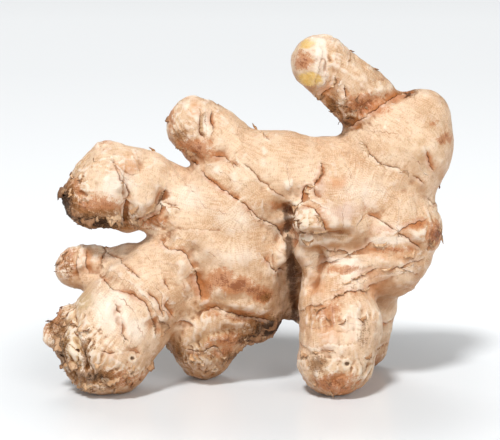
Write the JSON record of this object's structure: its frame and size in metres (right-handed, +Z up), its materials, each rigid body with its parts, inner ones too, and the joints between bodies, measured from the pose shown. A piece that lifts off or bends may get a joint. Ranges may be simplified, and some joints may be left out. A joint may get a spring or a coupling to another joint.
{
  "type": "ginger root",
  "caption": "Hand of fresh ginger: a thick branching rhizome with stubby fingers and buds, standing on its fingertips.",
  "frame": {"origin": "on the ground, under the middle of the hand's outline seen from above", "axes": "+X along the main axis, from the mother end to the shoulder; +Y from the front to the back; +Z up, with the fingertips that carry the hand on Z = 0"},
  "size_m": [0.1484, 0.0596, 0.1277],
  "materials": {
    "ginger_skin": "thin papery skin, satin, pale tan with brown scars"
  },
  "bodies": {
    "root": {"ginger_root": "ginger_skin"}
  },
  "joints": []
}
